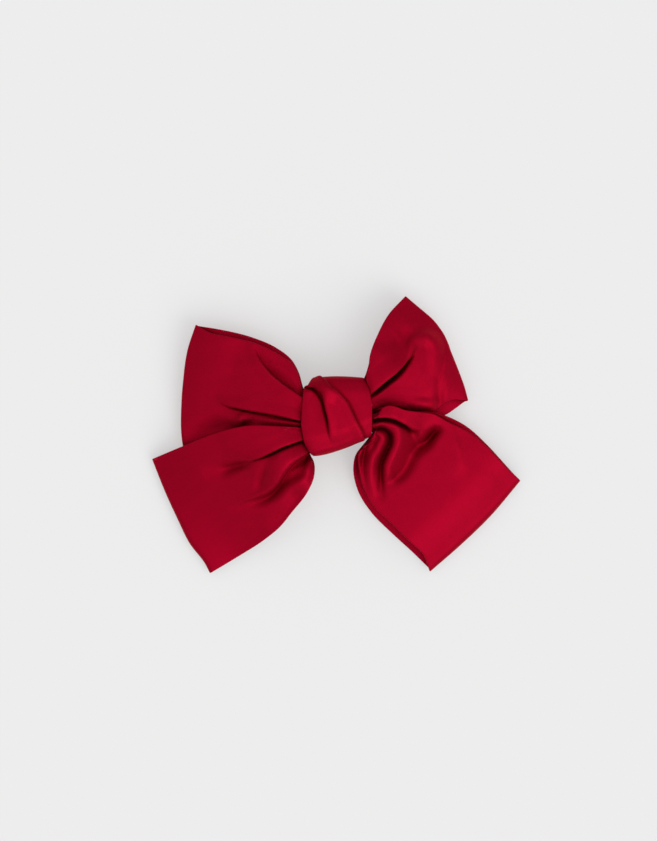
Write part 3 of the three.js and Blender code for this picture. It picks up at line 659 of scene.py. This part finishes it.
def felt_material():
    """Wool felt: matted fibres, mottled, with a fuzzy sheen."""
    made, tree, shader = material("felt")
    place = object_place(tree)
    mottle = tree.noise(place, 0.5, 4.0)
    one_way = tree.noise(place, 5.0, 6.0, (1, 0.25, 1))
    other_way = tree.noise(place, 5.0, 6.0, (0.25, 1, 1))
    fibres = tree.math("MULTIPLY", one_way, other_way)
    tone = tree.math("MULTIPLY_ADD", fibres, 1.6, tree.math("MULTIPLY", mottle, 0.4), clamp=True)
    colour = tree.mix(tone, (0.07, 0.001, 0.004, 1), (0.32, 0.008, 0.026, 1))
    tree.links.new(colour, shader.inputs["Base Color"])
    shader.inputs["Roughness"].default_value = 0.95
    shader.inputs["Specular IOR Level"].default_value = 0.15
    shader.inputs["Sheen Weight"].default_value = 0.6
    shader.inputs["Sheen Roughness"].default_value = 0.6
    shader.inputs["Sheen Tint"].default_value = (1, 0.25, 0.35, 1)
    bumped = tree.add("ShaderNodeBump", {"Height": fibres, "Distance": 0.0003, "Strength": 0.9})
    tree.links.new(bumped.outputs[0], shader.inputs["Normal"])
    return made


def metal_material(name, face, dull, roughness, brushing):
    """Plated steel: brushed along the clasp, rounded and rubbed at its edges, faintly marked."""
    made, tree, shader = material(name)
    place = object_place(tree)
    brushed = tree.noise(place, 6.0, 3.0, (0.05, 1, 1))
    stains = tree.noise(place, 0.35, 5.0)
    pits = tree.math("LESS_THAN", tree.noise(place, 2.6, 2.0), 0.31)
    scratch = tree.math("COMPARE", tree.noise(place, 0.8, 2.0, (0.15, 1, 1)), 0.5, 0.004)
    edge = tree.add("ShaderNodeBevel", {"Radius": 0.0002}, samples=4).outputs[0]
    plain = tree.add("ShaderNodeNewGeometry").outputs["True Normal"]
    turned = tree.add("ShaderNodeVectorMath", {0: edge, 1: plain}, operation="DOT_PRODUCT").outputs["Value"]
    rubbed = tree.math("MULTIPLY", tree.math("SUBTRACT", 1.0, turned), 5.0, clamp=True)
    dulled = tree.math("MULTIPLY_ADD", stains, 0.5, tree.math("MULTIPLY", pits, 0.4), clamp=True)
    tone = tree.mix(dulled, face, dull)
    tone = tree.mix(tree.math("MULTIPLY", rubbed, 0.6), tone, (0.86, 0.84, 0.8, 1))
    tree.links.new(tone, shader.inputs["Base Color"])
    shader.inputs["Metallic"].default_value = 1.0
    rough = tree.math("MULTIPLY_ADD", brushed, brushing, roughness)
    rough = tree.math("MULTIPLY_ADD", stains, 0.12, tree.math("MULTIPLY_ADD", scratch, 0.15, rough))
    tree.links.new(rough, shader.inputs["Roughness"])
    height = tree.math("SUBTRACT", brushed, tree.math("MULTIPLY", scratch, 1.5))
    bumped = tree.add(
        "ShaderNodeBump", {"Height": height, "Distance": 0.00001, "Strength": 0.5, "Normal": edge})
    tree.links.new(bumped.outputs[0], shader.inputs["Normal"])
    return made


# ---------------------------------------------------------------- bow
def satin_sheet(name, grid, width, node):
    """A ring of satin from a grid of points, `width` wide when it lies flat."""
    points, places = pressed_tube(grid, CLOTH)
    obj = mesh_of_grid(name, points, closed_columns=True)
    length = np.linalg.norm(np.diff(grid[:, grid.shape[1] // 2], axis=0), axis=1).sum()
    add_uv(obj, places, len(points), (width, length))
    face_outwards(obj)
    soft_piece(obj, node, SATIN)


def bow_strip(name, left, right, waist_y, node):
    grid = strip_grid(LOBES[left], LOBES[right], *waist_y)
    satin_sheet(name, grid, STRIP_WIDTH, node)


def ring_path(low, high, low_radius, high_radius, count):
    """Points evenly along a rounded rectangle in y and z, from the middle of its low side."""
    turn = math.pi / 2
    corners = (
        (high[0] - low_radius, low[1] + low_radius, low_radius, -turn),
        (high[0] - high_radius, high[1] - high_radius, high_radius, 0),
        (low[0] + high_radius, high[1] - high_radius, high_radius, turn),
        (low[0] + low_radius, low[1] + low_radius, low_radius, 2 * turn),
    )
    points = [((low[0] + high[0]) / 2, low[1])]
    for y, z, radius, start in corners:
        for k in range(13):
            angle = start + turn * k / 12
            points.append((y + radius * math.cos(angle), z + radius * math.sin(angle)))
    points = np.array(points + points[:1])
    length = np.concatenate([[0], np.cumsum(np.linalg.norm(np.diff(points, axis=0), axis=1))])
    at = np.linspace(0, length[-1], count + 1)[:-1]
    return np.stack([np.interp(at, length, points[:, k]) for k in range(2)], axis=1)


# The knot's band: its half width at places up its face, as (y, half width).
KNOT_LEFT = [(-9, 8.8), (-7.5, 11), (-4.5, 13), (-1.9, 13.9), (4.5, 14.9), (13, 14.5), (20, 13.8),
             (21.6, 13.2),
             (23.4, 11.2), (25.2, 8.8)]
KNOT_RIGHT = [(-1.1, 13.8), (0.5, 14.6), (2.4, 14.9), (13.2, 14.9), (19.6, 13.6), (23, 12), (25.7, 10.6)]
KNOT_BACK_HALF = 9.2
KNOT_CREASES = [
    dict(over="left", reach=1.7, rows=[
        (-17, 21.6, 0.8, 1.4, 0.6, 0.6, 1.0), (-13.6, 21.2, 1.0, 1.5, 1.0, 0.8, 1.4),
        (-10.1, 20.8, 1.3, 1.6, 1.8, 1.0, 1.6),
        (-7.4, 18.6, 1.5, 1.6, 2.4, 1.2, 1.7), (-5.4, 15.3, 1.4, 1.7, 2.4, 1.1, 1.6),
        (-4.3, 11, 1.2, 1.7, 2.0, 1.0, 1.4),
        (-3.2, 6.7, 1.0, 1.8, 1.6, 0.8, 1.1), (-2.7, 2.4, 0.6, 2.0, 1.0, 0.5, 0.7), (-2.6, -3, 0.0, 2.4)]),
    dict(over="right", reach=1.3, rows=[
        (-10, 26.4, 0.1, 1.5, 0.2, 0.2, 0.1), (-7.6, 25.2, 0.4, 1.5, 0.8, 0.4, 0.3),
        (-4.5, 23.5, 0.9, 1.5, 2.2, 0.6, 0.4),
        (1.1, 17.9, 1.1, 1.5, 3.0, 0.6, 0.4), (4.0, 14.7, 1.1, 1.5, 3.0, 0.6, 0.4),
        (7.7, 7.1, 1.1, 1.5, 3.0, 0.6, 0.4),
        (11.1, 0.5, 1.0, 1.5, 2.6, 0.6, 0.4), (12.2, -3, 0.9, 1.5, 2.4, 0.5, 0.3)]),
    dict(rows=[(-12, 19, 0, 3), (-9.4, 16.6, -0.8, 4), (-7.6, 11, -0.7, 4), (-6.4, 5, 0, 4)]),
]


def knot():
    """The band round both waists, the pad and the plate."""
    around, across = 240, 110
    plate_under = 11.7
    low_middle, low_slant, low_sag = -3.8, 4.1, 2.0    # the line of the band's lower side
    corner = 2.6
    low_side_drop, high_side_drop = 2.6, 1.6
    w = np.linspace(-1, 1, across + 1)
    grid = np.zeros((around, across + 1, 3))
    for i, u in enumerate(w):
        drop = -0.88 * u * u
        low_y = low_middle + low_slant * u - low_sag * (1 - u * u)
        low = (low_y - CLOTH / 2, plate_under - 0.35 + drop - CLOTH / 2)
        high = (24.5 - 0.6 * u * u + CLOTH / 2, 26.2 + drop + CLOTH / 2)
        grid[:, i, 1:] = ring_path(low, high, corner, corner, around)
        # The face falls away towards both walls.
        y, z = grid[:, i, 1], grid[:, i, 2]
        low_fall = low_side_drop * (1 - smooth((y - low[0]) / 9))
        high_fall = high_side_drop * (1 - smooth((high[0] - y) / 7))
        grid[:, i, 2] -= (low_fall + high_fall) * smooth((z - 16) / 8)
    y, z = grid[..., 1], grid[..., 2]
    facing = smooth((z - 11) / 6)
    left, right = (np.interp(y, *np.transpose(side)) for side in (KNOT_LEFT, KNOT_RIGHT))
    half = lerp(KNOT_BACK_HALF, np.where(w < 0, left, right), facing)
    grid[..., 0] = w * half
    grid[..., 2] -= 0.8 * np.abs(w) ** 7 * smooth((z - 20) / 5)
    grid += (creased(grid, KNOT_CREASES) - grid) * smooth((z - 18) / 4)[..., None]
    grid = relaxed(grid, 4)
    satin_sheet("knot_band_satin", grid, KNOT_WIDTH, "knot_wrap")


# ---------------------------------------------------------------- threads
def plied_thread(name, path, thread_radius, twist_length, closed):
    """Two plies twisted round a path of points in mm, as one piece."""
    path = np.asarray(path, float)
    sides = 6
    along = (np.roll(path, -1, 0) - np.roll(path, 1, 0)) if closed else np.gradient(path, axis=0)
    along /= np.linalg.norm(along, axis=1)[:, None]
    side = np.cross(along, (1.0, 0.0, 0.0))
    side /= np.linalg.norm(side, axis=1)[:, None]
    up = np.cross(along, side)
    run = np.concatenate([[0], np.cumsum(np.linalg.norm(np.diff(path, axis=0), axis=1))])
    whole = run[-1] + (np.linalg.norm(path[0] - path[-1]) if closed else 0)
    turns = max(1, round(whole / twist_length))
    ply = thread_radius * 0.49
    objects = []
    for k in range(2):
        angle = math.pi * k + 2 * math.pi * turns * run / whole
        outward = np.cos(angle)[:, None] * side + np.sin(angle)[:, None] * up
        centre = path + (thread_radius - ply) * outward
        ring = 2 * np.pi * np.arange(sides) / sides
        grid = centre[:, None] + ply * (
            np.cos(ring)[None, :, None] * side[:, None] + np.sin(ring)[None, :, None] * up[:, None])
        objects.append(mesh_of_grid(name, grid, closed_rows=closed, closed_columns=True))
    return joined(objects, name)


def joined(objects, name):
    with bpy.context.temp_override(active_object=objects[0], selected_editable_objects=objects):
        bpy.ops.object.join()
    objects[0].name = name
    return objects[0]


def soft_piece(obj, node, look):
    obj.data.materials.append(look)
    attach(obj, "bow")
    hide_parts(node)


STITCH_RADIUS = 0.25
STITCH_TWIST = 1.1       # mm of thread for one turn of its plies
BINDING_TURNS = 10
BINDING_THREAD = 0.25    # radius
BINDING_TWIST = 1.3


def anchor_stitches():
    """Each loop of thread holds the pad and the bow to the plate through two sewing holes."""
    for k in range(1, 5):
        node = f"anchor_stitch_{k}"
        low, high = (np.array(corner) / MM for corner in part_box(node))
        inset = STITCH_RADIUS
        ring = ring_path(low[1:] + inset, high[1:] - inset, 0.35, 0.35, 96)
        path = np.column_stack([np.full(len(ring), (low[0] + high[0]) / 2), ring])
        obj = plied_thread(f"{node}_thread", path, STITCH_RADIUS, STITCH_TWIST, closed=True)
        soft_piece(obj, node, THREAD)


def waist_thread():
    """The gathering thread, wound round both waists inside the knot."""
    low, high = (np.array(corner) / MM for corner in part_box("waist_binding"))
    per_turn = 72
    half = (high[0] - low[0]) / 2 - BINDING_THREAD
    rise = 0.7
    points = []
    for i in range(BINDING_TURNS * per_turn + 1):
        u = -1 + 2 * i / (BINDING_TURNS * per_turn)
        if i % per_turn == 0:
            low_corner = (low[1] + 0.3 + rise * (1 + u), low[2] + 0.3)
            ring = ring_path(low_corner, high[1:] - 0.3, 1.9, 2.7, per_turn)
        y, z = ring[i % per_turn]
        points.append((u * half, y, z))
    obj = plied_thread("waist_thread", points, BINDING_THREAD, BINDING_TWIST, closed=False)
    soft_piece(obj, "waist_binding", THREAD)


# ---------------------------------------------------------------- felt pad
def felt_pad():
    """The pad, from its CAD shape, with a felt's soft edges and uneven surface."""
    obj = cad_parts["backing_pad"].copy()
    obj.data = obj.data.copy()
    for key in list(obj.keys()):
        del obj[key]
    obj.parent = None
    obj.name = "felt_pad"
    bpy.context.scene.collection.objects.link(obj)
    obj.data.materials.clear()
    remesh = obj.modifiers.new("even", "REMESH")
    remesh.mode = "VOXEL"
    remesh.voxel_size = 0.24 * MM
    evened = obj.modifiers.new("soft", "SMOOTH")
    evened.factor, evened.iterations = 0.5, 3
    apply_modifiers(obj)
    places = np.zeros(len(obj.data.vertices) * 3)
    normals = np.zeros(len(obj.data.vertices) * 3)
    obj.data.vertices.foreach_get("co", places)
    obj.data.vertices.foreach_get("normal", normals)
    places, normals = places.reshape(-1, 3), normals.reshape(-1, 3)
    lumps = [
        0.05 * noise.noise(Vector(p * 1.3 / MM)) + 0.03 * noise.noise(Vector(p * 4.0 / MM)) for p in places
    ]
    places += normals * (np.array(lumps) * MM)[:, None]
    obj.data.vertices.foreach_set("co", places.reshape(-1))
    obj.data.polygons.foreach_set("use_smooth", [True] * len(obj.data.polygons))
    obj.data.update()
    soft_piece(obj, "backing_pad", FELT)


# ---------------------------------------------------------------- metal
def metal_parts():
    """The barrette keeps its CAD shapes and gets plated and sprung looks."""
    nickel = metal_material("nickel", (0.66, 0.63, 0.58, 1), (0.42, 0.39, 0.34, 1), 0.16, 0.14)
    spring = metal_material("spring_steel", (0.46, 0.46, 0.47, 1), (0.26, 0.25, 0.26, 1), 0.24, 0.2)
    soft = {"backing_pad", "upper_bow_strip", "lower_bow_strip", "waist_binding", "knot_wrap"}
    for name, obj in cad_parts.items():
        if name in soft or name.startswith("anchor_stitch"):
            continue
        obj.data.materials.clear()
        obj.data.materials.append(spring if name == "tension_spring" else nickel)


SATIN, THREAD, FELT = satin_material(), thread_material(), felt_material()
bow_strip("upper_strip_satin", "upper_left", "upper_right", UPPER_WAIST_Y, "upper_bow_strip")
bow_strip("lower_strip_satin", "lower_left", "lower_right", LOWER_WAIST_Y, "lower_bow_strip")
knot()
waist_thread()
anchor_stitches()
felt_pad()
metal_parts()


# ---------------------------------------------------------------- stage, light and camera
FLOOR_SIZE = 40    # metres, so that its edge is far off


def pale_floor():
    bpy.ops.mesh.primitive_plane_add(size=FLOOR_SIZE, location=(0, 0, -0.2 * MM))
    floor = bpy.context.object
    floor.name = "floor"
    made, tree, shader = material("pale_acrylic")
    shader.inputs["Base Color"].default_value = (0.4, 0.4, 0.4, 1)
    shader.inputs["Emission Color"].default_value = (1, 1, 1, 1)
    shader.inputs["Emission Strength"].default_value = 0.42
    shader.inputs["Roughness"].default_value = 0.9
    shader.inputs["Specular IOR Level"].default_value = 0.1
    floor.data.materials.append(made)


def light(name, kind, strength, towards, **settings):
    data = bpy.data.lights.new(name, kind)
    data.energy = strength
    for key, value in settings.items():
        setattr(data, key, value)
    lamp = bpy.data.objects.new(name, data)
    bpy.context.scene.collection.objects.link(lamp)
    direction = Vector(towards)
    lamp.location = -direction
    lamp.rotation_euler = direction.to_track_quat("-Z", "Y").to_euler()
    return lamp


def studio_light():
    """A large soft box overhead, brightest a little towards the lower right, and a dim room."""
    world = bpy.data.worlds.new("studio")
    world.use_nodes = True
    nodes, links = world.node_tree.nodes, world.node_tree.links
    direction = nodes.new("ShaderNodeTexCoord")
    facing = nodes.new("ShaderNodeVectorMath")
    facing.operation = "DOT_PRODUCT"
    axis = np.array([0.08, -0.14, 1.0])
    facing.inputs[1].default_value = axis / np.linalg.norm(axis)
    falloff = nodes.new("ShaderNodeMath")
    falloff.operation = "POWER"
    falloff.inputs[1].default_value = 2.5
    above = nodes.new("ShaderNodeMath")
    above.operation = "MAXIMUM"
    above.inputs[1].default_value = 0
    level = nodes.new("ShaderNodeMath")
    level.operation = "MULTIPLY_ADD"
    level.inputs[1].default_value = 1.05
    level.inputs[2].default_value = 0.38
    links.new(direction.outputs["Generated"], facing.inputs[0])
    links.new(facing.outputs["Value"], above.inputs[0])
    links.new(above.outputs[0], falloff.inputs[0])
    links.new(falloff.outputs[0], level.inputs[0])
    links.new(level.outputs[0], nodes["Background"].inputs["Strength"])
    nodes["Background"].inputs["Color"].default_value = (1, 1, 1, 1)
    bpy.context.scene.world = world
    light("key", "SUN", 1.0, (-0.72, 0.75, -1.0), angle=math.radians(42))


VIEW_HEIGHT = 362.72           # mm seen from top to bottom of the picture
VIEW_LEVEL = 10.0              # height at which that holds
VIEW_X, VIEW_Y = -3.45, 6.47


def camera():
    data = bpy.data.cameras.new("camera")
    data.lens = 100
    obj = bpy.data.objects.new("camera", data)
    bpy.context.scene.collection.objects.link(obj)
    # Straight above a point a little off the bow's middle, as high as the view's height needs.
    height = VIEW_HEIGHT * data.lens / data.sensor_width + VIEW_LEVEL
    obj.location = (VIEW_X * MM, VIEW_Y * MM, height * MM)
    obj.rotation_euler = (0, 0, 0)
    bpy.context.scene.camera = obj


pale_floor()
studio_light()
camera()
bpy.context.scene.view_settings.view_transform = "Standard"
